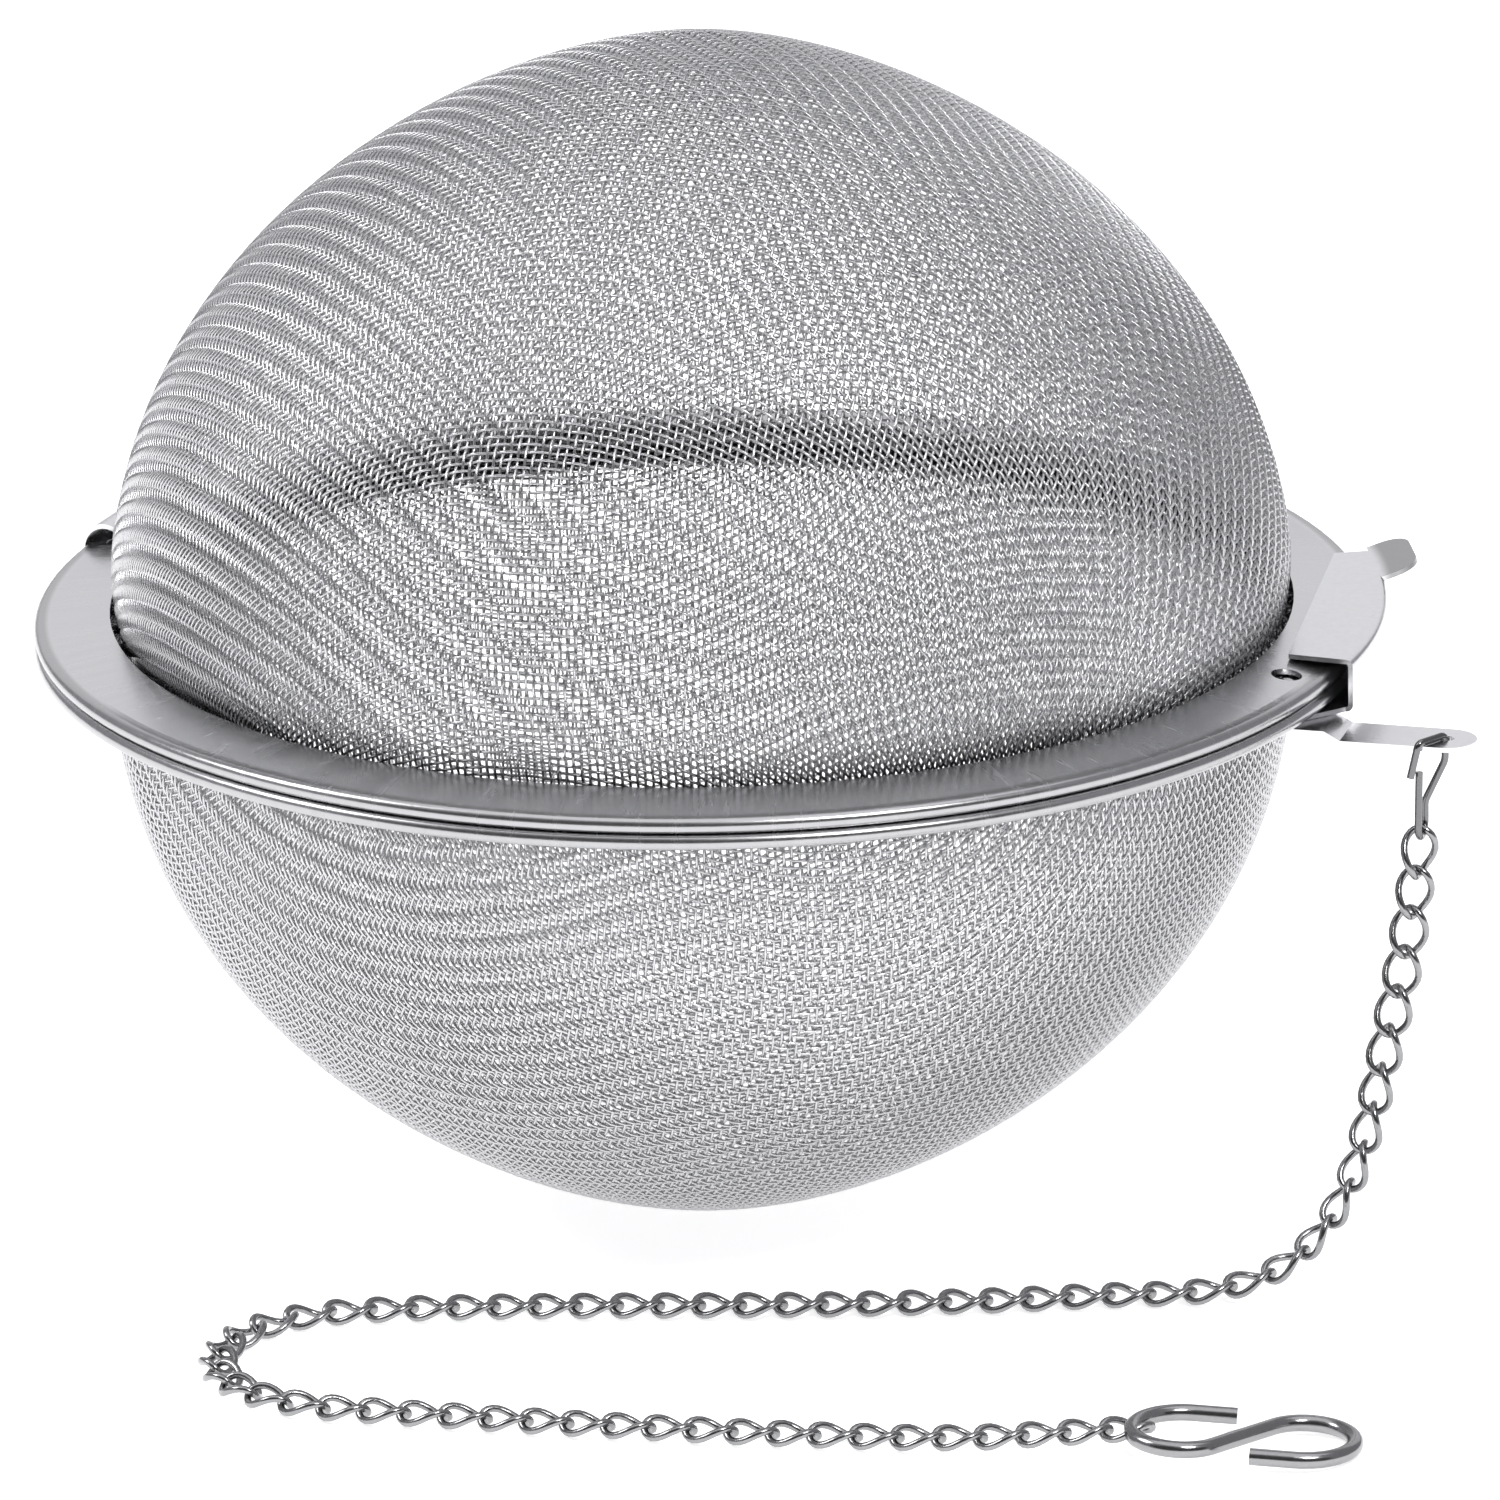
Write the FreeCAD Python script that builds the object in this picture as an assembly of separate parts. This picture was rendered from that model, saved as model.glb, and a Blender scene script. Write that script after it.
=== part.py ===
import FreeCAD, Part
import math
import os

# A ball tea infuser. Two domes of woven steel mesh are each crimped into a rim of folded sheet.
# A strap hinge joins the rims at -X, and a clip that swings on a rivet holds them shut at +X.
# A lug under the rivet carries a chain, whose far end has a hook for the edge of a pot.
# The origin is the middle of the flat end that the lower dome stands on. +Z is up.
# Lengths are in millimetres and angles in degrees.

V = FreeCAD.Vector
ORIGIN = V(0, 0, 0)
UP = V(0, 0, 1)

# Domes. The outer radius at a height above the seam between the rims is
# DOME_RADIUS * (1 - (height / DOME_POLE) ** DOME_FALL) ** DOME_ROUND, drawn in at the neck.
DOME_HEIGHT = 44.6
DOME_RADIUS = 44.5
DOME_POLE = 45.2
DOME_FALL = 2.19
DOME_ROUND = 0.62
DOME_STEPS = 16
NECK_PINCH = 1.0
NECK_HEIGHT = 8.0
NECK_FOOT = 1.25
CLOTH = 0.4
CLOTH_EDGE = 48.6

# Rims. Each is a sheet folded round a half-round bead, with a dished flange and a narrow hem.
RIM_RADIUS = 50.0
RIM_SHEET = 0.4
RIM_GAP = 0.06
BEAD = 0.6
FLANGE_INNER = 44.3
FLANGE_RISE = 0.57
FLANGE_CREASE = 48.7
HEM_INNER = 45.7
SLOT_HALF_WIDTH = 2.9
SLOT_INNER = 46.0
SLOT_SHORT = 0.02

# Hinge strap, a closed band through the slots of both rims.
STRAP_SHEET = 0.35
STRAP_WIDTH = 5.0
STRAP_OUTER = 50.41
STRAP_INNER = 46.3
STRAP_SHOULDER = 0.715
STRAP_FOOT = -1.64

# Rivet, the clip's pivot. Heights are measured from the seam.
RIVET_X = 47.2
RIVET_RADIUS = 0.6
RIVET_HEAD = 0.95
RIVET_HEAD_TOP = 1.15
RIVET_PEEN = 1.0
RIVET_PEEN_HEIGHT = 0.35
RIVET_FIT = 0.05
HEAD_HOLE = 1.15

# Clip, a C-shaped channel round both rims.
CLIP_SHEET = 0.35
CLIP_OUTER = 51.3
CLIP_BEND = 0.55
CLIP_TOP = 2.05
CLIP_FOOT = -1.99
CLIP_FOOT_INNER = 46.0
CLIP_TOP_INNER = 45.0
CLIP_NEAR = 3.5
CLIP_FAR = 33.5
CLIP_NEAR_INNER = 46.3
CLIP_FAR_INNER = 48.3
CLIP_EYE = 1.2
CLIP_EYE_SHOULDER = (0.9, -0.8)
TAB_ANGLE = 30.3
TAB_ROOT = 0.1
TAB_WIDTH = 7.4
TAB_LENGTH = 3.0
TAB_RISE = 18.0
TAB_CORNER = 2.0

# Lug, a strip under the clip's foot that steps down outside the rims.
LUG_SHEET = 0.35
LUG_TOP = -2.02
LUG_STEP = 0.66
LUG_STEP_START = 3.3
LUG_STEP_END = 4.5
LUG_HALF_WIDTH = 2.25
LUG_REACH = 12.1
LUG_TURN = 9.0
LUG_HOLE = 0.55

# Small hook of bent wire, from the lug to the chain. Heights are above the surface stood on.
LUG_HOOK_WIRE = 0.28
LUG_HOOK_SPAN = 2.84
LUG_HOOK_BEND = 0.45
LUG_HOOK_HEADING = 247.8
LUG_HOOK_OFFSET = 0.18
LUG_HOOK_REST = 0.04
LUG_HOOK_SHANK = 1.6
LUG_HOOK_SWEEP = 1.5
LUG_HOOK_TAIL = 39.6
LUG_HOOK_TAIL_LEAN = 0.6
LUG_HOOK_TAIL_SIDE = 204.0
EYE_X = 57.8
EYE_Y = 0.2
EYE_BOTTOM = 34.7
EYE_RADIUS = 1.1
EYE_BENDS = (1.078, 1.013)
EYE_ARM = 2.4
EYE_CLOSE = 0.45
EYE_HEADING = 277.7
EYE_TIP = 39.9

# Chain. The route is its centreline, from the small hook to the pot hook.
LINK_WIRE = 0.28
LINK_HALF_LENGTH = 1.86
LINK_HALF_WIDTH = 1.245
LINK_PITCH = 3.05
LINK_LEAN = 45.0
START_TWIST_LINKS = 10
END_TWIST_LINKS = 4
ROUTE = [
    (57.8, 0.2, 35.33),
    (57.6, -0.4, 31.0),
    (57.0, -1.3, 25.0),
    (56.1, -2.3, 19.5),
    (55.2, -3.1, 14.0),
    (54.1, -4.1, 9.0),
    (52.2, -5.6, 5.0),
    (49.4, -7.6, 2.3),
    (45.4, -10.4, 1.3),
    (38.4, -13.8, 1.3),
    (31.3, -17.9, 1.3),
    (18.0, -24.2, 1.3),
    (4.2, -29.7, 1.3),
    (-8.8, -35.3, 1.3),
    (-15.6, -39.4, 1.3),
    (-18.4, -45.2, 1.3),
    (-17.4, -51.4, 1.3),
    (-13.4, -55.6, 1.3),
    (-7.4, -57.0, 1.3),
    (0.4, -55.4, 1.3),
    (11.4, -53.2, 1.3),
    (25.7, -49.8, 1.3),
    (39.0, -45.9, 1.3),
    (46.2, -43.3, 1.5),
    (52.8, -40.25, 1.68),
]
ARC_SHARE = 0.45

# Pot hook, an S of wire that lies on the surface with its first bend propped up on the last link.
POT_HOOK_WIRE = 0.625
POT_HOOK_REACH = 8.1
POT_HOOK_BACK = 4.9
POT_HOOK_CROSS = 8.0
POT_HOOK_TAIL = (0.3, 4.1)
POT_HOOK_BENDS = (4.2, 3.4)
POT_HOOK_X = 59.1
POT_HOOK_Y = -38.25
POT_HOOK_Z = 1.12
POT_HOOK_TURN = 24.0
POT_HOOK_TILT = 3.36


def at(radius, height):
    """A point of a section, in the plane that is turned round the vertical axis."""
    return V(radius, 0, height)


def polar(radius, angle, height=0.0):
    """A point at a radius and an angle about the vertical axis."""
    turn = math.radians(angle)
    return V(radius * math.cos(turn), radius * math.sin(turn), height)


def lines(*points):
    """Straight edges from each point to the next."""
    return [Part.LineSegment(start, end).toShape() for start, end in zip(points, points[1:])]


def bend(centre, radius, first, last):
    """An arc of a section from one angle to another, with the radius to the right."""
    turns = [math.radians(angle) for angle in (first, (first + last) / 2, last)]
    points = [centre + at(radius * math.cos(turn), radius * math.sin(turn)) for turn in turns]
    return Part.Arc(*points).toShape()


def cap(radius, foot, top):
    """The arc of a spherical cap, from its foot at a radius to its top on the axis."""
    rise = top - foot
    ball = (radius ** 2 + rise ** 2) / (2 * rise)
    half = math.asin(radius / ball) / 2
    middle = at(ball * math.sin(half), top - ball * (1 - math.cos(half)))
    return Part.Arc(at(radius, foot), middle, at(0, top)).toShape()


def turned(edges, angle=360):
    """The solid that a closed section sweeps round the vertical axis."""
    return Part.Face(Part.Wire(edges)).revolve(ORIGIN, UP, angle)


def lifted(shape):
    """Moves a shape whose heights are measured from the seam up to its place."""
    return shape.translated(V(0, 0, DOME_HEIGHT))


def upside_down(shape):
    """The shape reflected in the seam, as the lower dome and rim are."""
    return shape.mirror(ORIGIN, UP)


def dome_radius(height):
    """Outer radius of a dome at a height above the seam."""
    barrel = DOME_RADIUS * (1 - (height / DOME_POLE) ** DOME_FALL) ** DOME_ROUND
    return barrel - NECK_PINCH * max(0.0, 1 - height / NECK_HEIGHT) ** 2


def dome_curve(inset):
    """Points up a dome's section, moved in from its outer face by an inset."""
    points = []
    reach = 0.01
    for step in range(DOME_STEPS + 1):
        climb = math.sin(math.pi / 2 * step / DOME_STEPS)
        height = NECK_FOOT + (DOME_HEIGHT - NECK_FOOT) * climb
        slope = (dome_radius(height + reach) - dome_radius(height - reach)) / (2 * reach)
        slant = math.hypot(1, slope)
        points.append(at(dome_radius(height) - inset / slant, height + inset * slope / slant))
    return points


def smooth(points):
    """One smooth edge through the points."""
    curve = Part.BSplineCurve()
    curve.interpolate(points)
    return curve.toShape()


def hinge_slot():
    """The slot for the strap, cut up to the middle of the bead."""
    outer = RIM_RADIUS - BEAD - SLOT_SHORT
    height = 8.0
    corner = V(-outer, -SLOT_HALF_WIDTH, -height / 2)
    return Part.makeBox(outer - SLOT_INNER, 2 * SLOT_HALF_WIDTH, height, corner)


def rivet_hole(radius):
    """A round hole on the rivet's axis through everything near the seam."""
    height = 8.0
    return Part.makeCylinder(radius, height, V(RIVET_X, 0, -height / 2))


def mesh_dome(holes):
    """The upper dome with its hinge slot and the holes given."""
    outer = dome_curve(0.0)
    inner = dome_curve(CLOTH)
    low = RIM_GAP / 2 + RIM_SHEET
    high = low + CLOTH
    fillet = NECK_FOOT - high
    elbow = at(outer[0].x + fillet, NECK_FOOT)
    inner_foot = at(elbow.x - fillet - CLOTH, NECK_FOOT)
    edges = [smooth(outer)]
    edges += lines(outer[-1], at(0, outer[-1].z), at(0, inner[-1].z), inner[-1])
    edges += [smooth(inner[::-1])]
    edges += lines(inner[0], inner_foot)
    edges += [bend(elbow, fillet + CLOTH, 180, 270)]
    edges += lines(at(elbow.x, low), at(CLOTH_EDGE, low), at(CLOTH_EDGE, high), at(elbow.x, high))
    edges += [bend(elbow, fillet, 270, 180)]
    return turned(edges).cut(hinge_slot()).cut(holes)


def rim(holes):
    """The upper rim with its hinge slot and the holes given."""
    low = RIM_GAP / 2
    high = low + 2 * BEAD
    bead_x = RIM_RADIUS - BEAD
    bead = at(bead_x, low + BEAD)
    under = high - RIM_SHEET
    over = low + RIM_SHEET
    edges = lines(
        at(bead_x, high),
        at(FLANGE_CREASE, high),
        at(FLANGE_INNER, high + FLANGE_RISE),
        at(FLANGE_INNER, under + FLANGE_RISE),
        at(FLANGE_CREASE, under),
        at(bead_x, under),
    )
    edges += [bend(bead, BEAD - RIM_SHEET, 90, -90)]
    edges += lines(at(bead_x, over), at(HEM_INNER, over), at(HEM_INNER, low), at(bead_x, low))
    edges += [bend(bead, BEAD, -90, 90)]
    return turned(edges).cut(hinge_slot()).cut(holes)


def hinge_strap():
    """The band through both slots: square-cornered below, half-round above."""
    middle = -(STRAP_OUTER + STRAP_INNER) / 2
    radius = (STRAP_OUTER - STRAP_INNER) / 2

    def outline(inset):
        reach = radius - inset
        shoulder = at(middle, STRAP_SHOULDER)
        right = at(middle + reach, STRAP_FOOT + inset)
        left = at(middle - reach, STRAP_FOOT + inset)
        edges = [bend(shoulder, reach, 0, 180)]
        edges += lines(at(middle - reach, STRAP_SHOULDER), left, right, at(middle + reach, STRAP_SHOULDER))
        face = Part.Face(Part.Wire(edges))
        return face.translated(V(0, -STRAP_WIDTH / 2, 0)).extrude(V(0, STRAP_WIDTH, 0))

    return outline(0.0).cut(outline(STRAP_SHEET))


def latch_rivet():
    """A domed head on the lower rim, a shaft, and a peened end under the lug."""
    head_foot = -RIM_GAP / 2
    lug_under = LUG_TOP - LUG_SHEET
    rise = RIVET_HEAD_TOP - head_foot
    peen = lug_under - RIVET_PEEN_HEIGHT
    edges = [cap(RIVET_HEAD, head_foot + rise / 3, RIVET_HEAD_TOP)]
    edges += lines(at(0, RIVET_HEAD_TOP), at(0, peen))
    edges += [cap(RIVET_PEEN, lug_under, peen)]
    edges += lines(
        at(RIVET_PEEN, lug_under),
        at(RIVET_RADIUS, lug_under),
        at(RIVET_RADIUS, head_foot),
        at(RIVET_HEAD, head_foot),
        at(RIVET_HEAD, head_foot + rise / 3),
    )
    return turned(edges).translated(V(RIVET_X, 0, 0))


def latch_lever():
    """The clip: a channel round both rims, an eye on the rivet, and a thumb tab."""
    outer = CLIP_OUTER
    wall = outer - CLIP_SHEET
    inner_bend = CLIP_BEND - CLIP_SHEET
    turn_x = outer - CLIP_BEND
    top = at(turn_x, CLIP_TOP - CLIP_BEND)
    foot = at(turn_x, CLIP_FOOT + CLIP_BEND)
    edges = lines(at(turn_x, CLIP_TOP), at(CLIP_TOP_INNER, CLIP_TOP),
                  at(CLIP_TOP_INNER, CLIP_TOP - CLIP_SHEET), at(turn_x, CLIP_TOP - CLIP_SHEET))
    edges += [bend(top, inner_bend, 90, 0)]
    edges += lines(at(wall, top.z), at(wall, foot.z))
    edges += [bend(foot, inner_bend, 0, -90)]
    edges += lines(at(turn_x, CLIP_FOOT + CLIP_SHEET), at(CLIP_FOOT_INNER, CLIP_FOOT + CLIP_SHEET),
                   at(CLIP_FOOT_INNER, CLIP_FOOT), at(turn_x, CLIP_FOOT))
    edges += [bend(foot, CLIP_BEND, -90, 0)]
    edges += lines(at(outer, foot.z), at(outer, top.z))
    edges += [bend(top, CLIP_BEND, 0, 90)]
    channel = turned(edges, CLIP_FAR - CLIP_NEAR)
    channel.rotate(ORIGIN, UP, CLIP_NEAR)
    return channel.cut(clip_inside()).fuse([clip_eye(), thumb_tab()]).removeSplitter().cut(
        rivet_hole(RIVET_RADIUS + RIVET_FIT))


def clip_inside():
    """What the straight inner edge of the clip's top plate leaves out."""
    near = polar(CLIP_NEAR_INNER, CLIP_NEAR)
    far = polar(CLIP_FAR_INNER, CLIP_FAR)
    along = (far - near).normalize()
    side = V(-along.y, along.x, 0)
    spare = 5.0
    start = near - along * spare
    end = far + along * spare
    corners = [start, end, end + side * spare, start + side * spare, start]
    return Part.Face(Part.Wire(lines(*corners))).extrude(UP * spare)


def clip_eye():
    """The clip's foot round the rivet, tapered from the channel's near end."""
    corners = [
        polar(CLIP_FOOT_INNER, 0, CLIP_FOOT),
        V(RIVET_X + CLIP_EYE_SHOULDER[0], CLIP_EYE_SHOULDER[1], CLIP_FOOT),
        polar(CLIP_OUTER - CLIP_BEND, CLIP_NEAR, CLIP_FOOT),
        polar(CLIP_FOOT_INNER, CLIP_NEAR, CLIP_FOOT),
        polar(CLIP_FOOT_INNER, 0, CLIP_FOOT),
    ]
    plate = Part.Face(Part.Wire(lines(*corners))).extrude(V(0, 0, CLIP_SHEET))
    return plate.fuse(Part.makeCylinder(CLIP_EYE, CLIP_SHEET, V(RIVET_X, 0, CLIP_FOOT)))


def thumb_tab():
    """The tab that a thumb pushes: it rises outwards from the top plate's outer edge."""
    half = TAB_WIDTH / 2
    reach = TAB_ROOT + TAB_LENGTH
    turn = TAB_CORNER * (1 - math.sqrt(0.5))
    edges = lines(V(0, half, 0), V(0, -half, 0), V(reach - TAB_CORNER, -half, 0))
    edges += [Part.Arc(V(reach - TAB_CORNER, -half, 0), V(reach - turn, turn - half, 0),
                       V(reach, TAB_CORNER - half, 0)).toShape()]
    edges += lines(V(reach, TAB_CORNER - half, 0), V(reach, half - TAB_CORNER, 0))
    edges += [Part.Arc(V(reach, half - TAB_CORNER, 0), V(reach - turn, half - turn, 0),
                       V(reach - TAB_CORNER, half, 0)).toShape()]
    edges += lines(V(reach - TAB_CORNER, half, 0), V(0, half, 0))
    tab = Part.Face(Part.Wire(edges)).extrude(V(0, 0, CLIP_SHEET))
    tab.rotate(ORIGIN, V(0, 1, 0), -TAB_RISE)
    tab.translate(V(CLIP_OUTER - TAB_ROOT - CLIP_BEND / 2, 0, CLIP_TOP - CLIP_SHEET))
    tab.rotate(ORIGIN, UP, TAB_ANGLE)
    return tab


def chain_lug():
    """The strip under the clip's foot, with a hole for the rivet and one for the small hook."""
    bottom = LUG_TOP - LUG_SHEET
    end = LUG_REACH + LUG_HALF_WIDTH
    side = lines(
        at(-LUG_HALF_WIDTH, bottom),
        at(LUG_STEP_START, bottom),
        at(LUG_STEP_END, bottom - LUG_STEP),
        at(end, bottom - LUG_STEP),
        at(end, LUG_TOP - LUG_STEP),
        at(LUG_STEP_END, LUG_TOP - LUG_STEP),
        at(LUG_STEP_START, LUG_TOP),
        at(-LUG_HALF_WIDTH, LUG_TOP),
        at(-LUG_HALF_WIDTH, bottom),
    )
    strip = Part.Face(Part.Wire(side)).translated(V(0, -LUG_HALF_WIDTH, 0))
    strip = strip.extrude(V(0, 2 * LUG_HALF_WIDTH, 0))
    plan = lines(V(0, LUG_HALF_WIDTH, 0), V(LUG_REACH, LUG_HALF_WIDTH, 0))
    plan += [Part.Arc(V(LUG_REACH, LUG_HALF_WIDTH, 0), V(end, 0, 0),
                      V(LUG_REACH, -LUG_HALF_WIDTH, 0)).toShape()]
    plan += lines(V(LUG_REACH, -LUG_HALF_WIDTH, 0), V(0, -LUG_HALF_WIDTH, 0))
    plan += [Part.Arc(V(0, -LUG_HALF_WIDTH, 0), V(-LUG_HALF_WIDTH, 0, 0),
                      V(0, LUG_HALF_WIDTH, 0)).toShape()]
    depth = 5.0
    blank = Part.Face(Part.Wire(plan)).extrude(UP * -depth)
    hole = Part.makeCylinder(LUG_HOLE, depth, V(LUG_REACH, 0, -depth))
    lug = strip.common(blank).cut(hole)
    lug.rotate(ORIGIN, UP, LUG_TURN)
    lug.translate(V(RIVET_X, 0, 0))
    return lug.cut(rivet_hole(RIVET_RADIUS + RIVET_FIT))


def rounded_path(points, radii):
    """Straight runs through the points, joined by tangent arcs of the radii given."""
    edges = []
    start = points[0]
    for before, corner, after, radius in zip(points, points[1:], points[2:], radii):
        back = (before - corner).normalize()
        ahead = (after - corner).normalize()
        half = back.getAngle(ahead) / 2
        reach = radius / math.tan(half)
        middle = corner + (back + ahead).normalize() * (radius / math.sin(half) - radius)
        edges += lines(start, corner + back * reach)
        edges += [Part.Arc(corner + back * reach, middle, corner + ahead * reach).toShape()]
        start = corner + ahead * reach
    return Part.Wire(edges + lines(start, points[-1]))


def wire_along(path, radius):
    """Round wire along a path."""
    first = path.Edges[0]
    tangent = first.tangentAt(first.FirstParameter)
    ring = Part.Wire(Part.makeCircle(radius, path.OrderedVertexes[0].Point, tangent))
    return path.makePipeShell([ring], True, False)


def hook_hole():
    """The middle of the lug's hole for the small hook, at the lug's top face."""
    top = DOME_HEIGHT + LUG_TOP - LUG_STEP
    return V(RIVET_X, 0, 0) + polar(LUG_REACH, LUG_TURN, top)


def lug_hook():
    """Bent wire: a flat-topped hook through the lug's hole, and an eye for the first link."""
    away = polar(1, LUG_HOOK_HEADING)
    across = polar(1, EYE_HEADING)
    hole = hook_hole()
    inside = V(hole.x, hole.y, 0) + away * LUG_HOOK_OFFSET
    outside = inside + away * LUG_HOOK_SPAN
    top = hole.z + LUG_HOOK_WIRE + LUG_HOOK_REST
    eye = V(EYE_X, EYE_Y, 0)
    arm = eye - across * EYE_RADIUS
    tip = eye + across * EYE_RADIUS
    shank = hole.z - LUG_HOOK_SHANK
    points = [
        outside + UP * LUG_HOOK_TAIL + polar(LUG_HOOK_TAIL_LEAN, LUG_HOOK_TAIL_SIDE),
        outside + UP * top,
        inside + UP * top,
        inside + UP * shank,
        arm + UP * (EYE_BOTTOM + EYE_ARM),
        arm + UP * EYE_BOTTOM,
        tip + UP * EYE_BOTTOM,
        tip - across * EYE_CLOSE + UP * EYE_TIP,
    ]
    radii = (LUG_HOOK_BEND,) * 2 + (LUG_HOOK_SWEEP,) * 2 + EYE_BENDS
    return wire_along(rounded_path(points, radii), LUG_HOOK_WIRE)


def chain_path():
    """The chain's centreline, each arc as large as its two runs allow."""
    points = [V(*point) for point in ROUTE]
    radii = []
    for before, corner, after in zip(points, points[1:], points[2:]):
        turn = math.pi - (before - corner).getAngle(after - corner)
        shorter = min((before - corner).Length, (after - corner).Length)
        radii.append(ARC_SHARE * shorter / math.tan(turn / 2))
    print("arc radii", " ".join(f"{radius:.1f}" for radius in radii))
    return rounded_path(points, radii)


def one_link():
    """A link about the origin, long in X and wide in Y."""
    end = LINK_HALF_LENGTH - LINK_HALF_WIDTH
    wide = LINK_HALF_WIDTH
    edges = lines(V(-end, -wide, 0), V(end, -wide, 0))
    edges += [Part.Arc(V(end, -wide, 0), V(end + wide, 0, 0), V(end, wide, 0)).toShape()]
    edges += lines(V(end, wide, 0), V(-end, wide, 0))
    edges += [Part.Arc(V(-end, wide, 0), V(-end - wide, 0, 0), V(-end, -wide, 0)).toShape()]
    return wire_along(Part.Wire(edges), LINK_WIRE)


def half_turn(angle):
    """The same lean of a link, between -90 and 90 degrees."""
    return (angle + 90) % 180 - 90


def chain_axes(walk, place, reach):
    """Directions along, across and above the chain at a place on its walk."""
    ahead = (walk[min(place + reach, len(walk) - 1)] - walk[max(place - reach, 0)]).normalize()
    side = UP.cross(ahead).normalize()
    return ahead, side, ahead.cross(side)


def chain_links():
    """Separate links along the path, each turned a right angle from the last.

    The first few links twist round to meet the small hook's eye, and the last few to meet the pot hook.
    """
    path = chain_path()
    room = path.Length - 2 * LINK_HALF_LENGTH
    count = round(room / LINK_PITCH) + 1
    fine = 50
    walk = path.discretize(Number=fine * (count - 1) * 2 + 1)
    step = path.Length / (len(walk) - 1)
    print("chain length", round(path.Length, 1), "links", count, "pitch", round(room / (count - 1), 3))
    _, side, above = chain_axes(walk, round(LINK_HALF_LENGTH / step), fine)
    first_wide = polar(1, EYE_HEADING + 90)
    first_lean = math.degrees(math.atan2(first_wide.dot(above), first_wide.dot(side)))
    start_twist = half_turn(first_lean - LINK_LEAN)
    end_twist = half_turn(90 - LINK_LEAN - 90 * (count - 1))
    link = one_link()
    links = []
    for index in range(count):
        place = round((LINK_HALF_LENGTH + room * index / (count - 1)) / step)
        ahead, side, above = chain_axes(walk, place, fine)
        lean = LINK_LEAN + 90 * index
        lean += start_twist * max(0.0, 1 - index / START_TWIST_LINKS)
        lean += end_twist * max(0.0, 1 - (count - 1 - index) / END_TWIST_LINKS)
        turn = math.radians(lean)
        wide = side * math.cos(turn) + above * math.sin(turn)
        normal = ahead.cross(wide)
        frame = FreeCAD.Matrix(
            ahead.x, wide.x, normal.x, walk[place].x,
            ahead.y, wide.y, normal.y, walk[place].y,
            ahead.z, wide.z, normal.z, walk[place].z,
            0, 0, 0, 1)
        links.append(link.transformed(frame))
    return Part.makeCompound(links)


def pot_hook():
    """An S of wire with straight tails, lying down, its first bend raised by the last link."""
    tail = V(-POT_HOOK_TAIL[0], POT_HOOK_TAIL[1], 0)
    first = [tail, V(-POT_HOOK_REACH, POT_HOOK_BACK, 0), V(-POT_HOOK_REACH, -POT_HOOK_CROSS, 0)]
    second = [point * -1 for point in first[::-1]]
    path = rounded_path(first + second, POT_HOOK_BENDS + POT_HOOK_BENDS[::-1])
    hook = wire_along(path, POT_HOOK_WIRE)
    hook.rotate(ORIGIN, V(0, 1, 0), POT_HOOK_TILT)
    hook.rotate(ORIGIN, UP, POT_HOOK_TURN)
    hook.translate(V(POT_HOOK_X, POT_HOOK_Y, POT_HOOK_Z))
    return hook


def main():
    head_hole = rivet_hole(HEAD_HOLE)
    shaft_hole = rivet_hole(RIVET_RADIUS + RIVET_FIT)
    parts = {
        "upper_mesh_dome": lifted(mesh_dome(head_hole)),
        "lower_mesh_dome": lifted(upside_down(mesh_dome(shaft_hole))),
        "upper_rim": lifted(rim(head_hole)),
        "lower_rim": lifted(upside_down(rim(shaft_hole))),
        "hinge_strap": lifted(hinge_strap()),
        "latch_lever": lifted(latch_lever()),
        "latch_rivet": lifted(latch_rivet()),
        "chain_lug": lifted(chain_lug()),
        "lug_hook": lug_hook(),
        "chain_links": chain_links(),
        "pot_hook": pot_hook(),
    }
    os.makedirs("parts", exist_ok=True)
    for name, shape in parts.items():
        box = shape.BoundBox
        size = f"{box.XLength:.2f} x {box.YLength:.2f} x {box.ZLength:.2f}"
        print(name, "solids", len(shape.Solids), "valid", shape.isValid(), "volume", round(shape.Volume, 2),
              "size", size, "lowest", round(box.ZMin, 3))
        shape.exportStep(f"parts/{name}.step")


main()
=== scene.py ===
import math

import bpy
import numpy as np
from mathutils import Matrix, Vector


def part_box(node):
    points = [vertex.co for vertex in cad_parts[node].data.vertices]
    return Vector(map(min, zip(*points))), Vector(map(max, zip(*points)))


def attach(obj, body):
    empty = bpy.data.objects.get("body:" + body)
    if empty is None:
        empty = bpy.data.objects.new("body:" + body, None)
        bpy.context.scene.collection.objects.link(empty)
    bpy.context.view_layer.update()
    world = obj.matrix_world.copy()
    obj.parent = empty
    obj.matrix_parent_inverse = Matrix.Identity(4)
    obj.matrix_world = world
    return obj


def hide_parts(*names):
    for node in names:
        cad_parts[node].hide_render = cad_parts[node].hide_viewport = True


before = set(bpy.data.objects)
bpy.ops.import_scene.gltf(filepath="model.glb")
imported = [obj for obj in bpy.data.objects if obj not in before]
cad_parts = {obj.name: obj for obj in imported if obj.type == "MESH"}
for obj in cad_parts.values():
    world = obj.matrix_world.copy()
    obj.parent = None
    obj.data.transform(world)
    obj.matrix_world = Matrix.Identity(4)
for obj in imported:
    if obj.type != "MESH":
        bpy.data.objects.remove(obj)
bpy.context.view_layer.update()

# Lengths are in millimetres, and become metres where a mesh, a light or the camera is made.
MM = 0.001

# The seam between the rims, which every dome and rim is measured from.
SEAM = (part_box("upper_rim")[0][2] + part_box("lower_rim")[1][2]) / 2 / MM

# Domes: the CAD domes' outer curve, a barrel that closes at the pole and is pinched in at the neck.
DOME_RADIUS = 44.5
DOME_POLE = 45.2
DOME_FALL = 2.19
DOME_ROUND = 0.62
NECK_PINCH = 1.0
NECK_HEIGHT = 8.0
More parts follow.
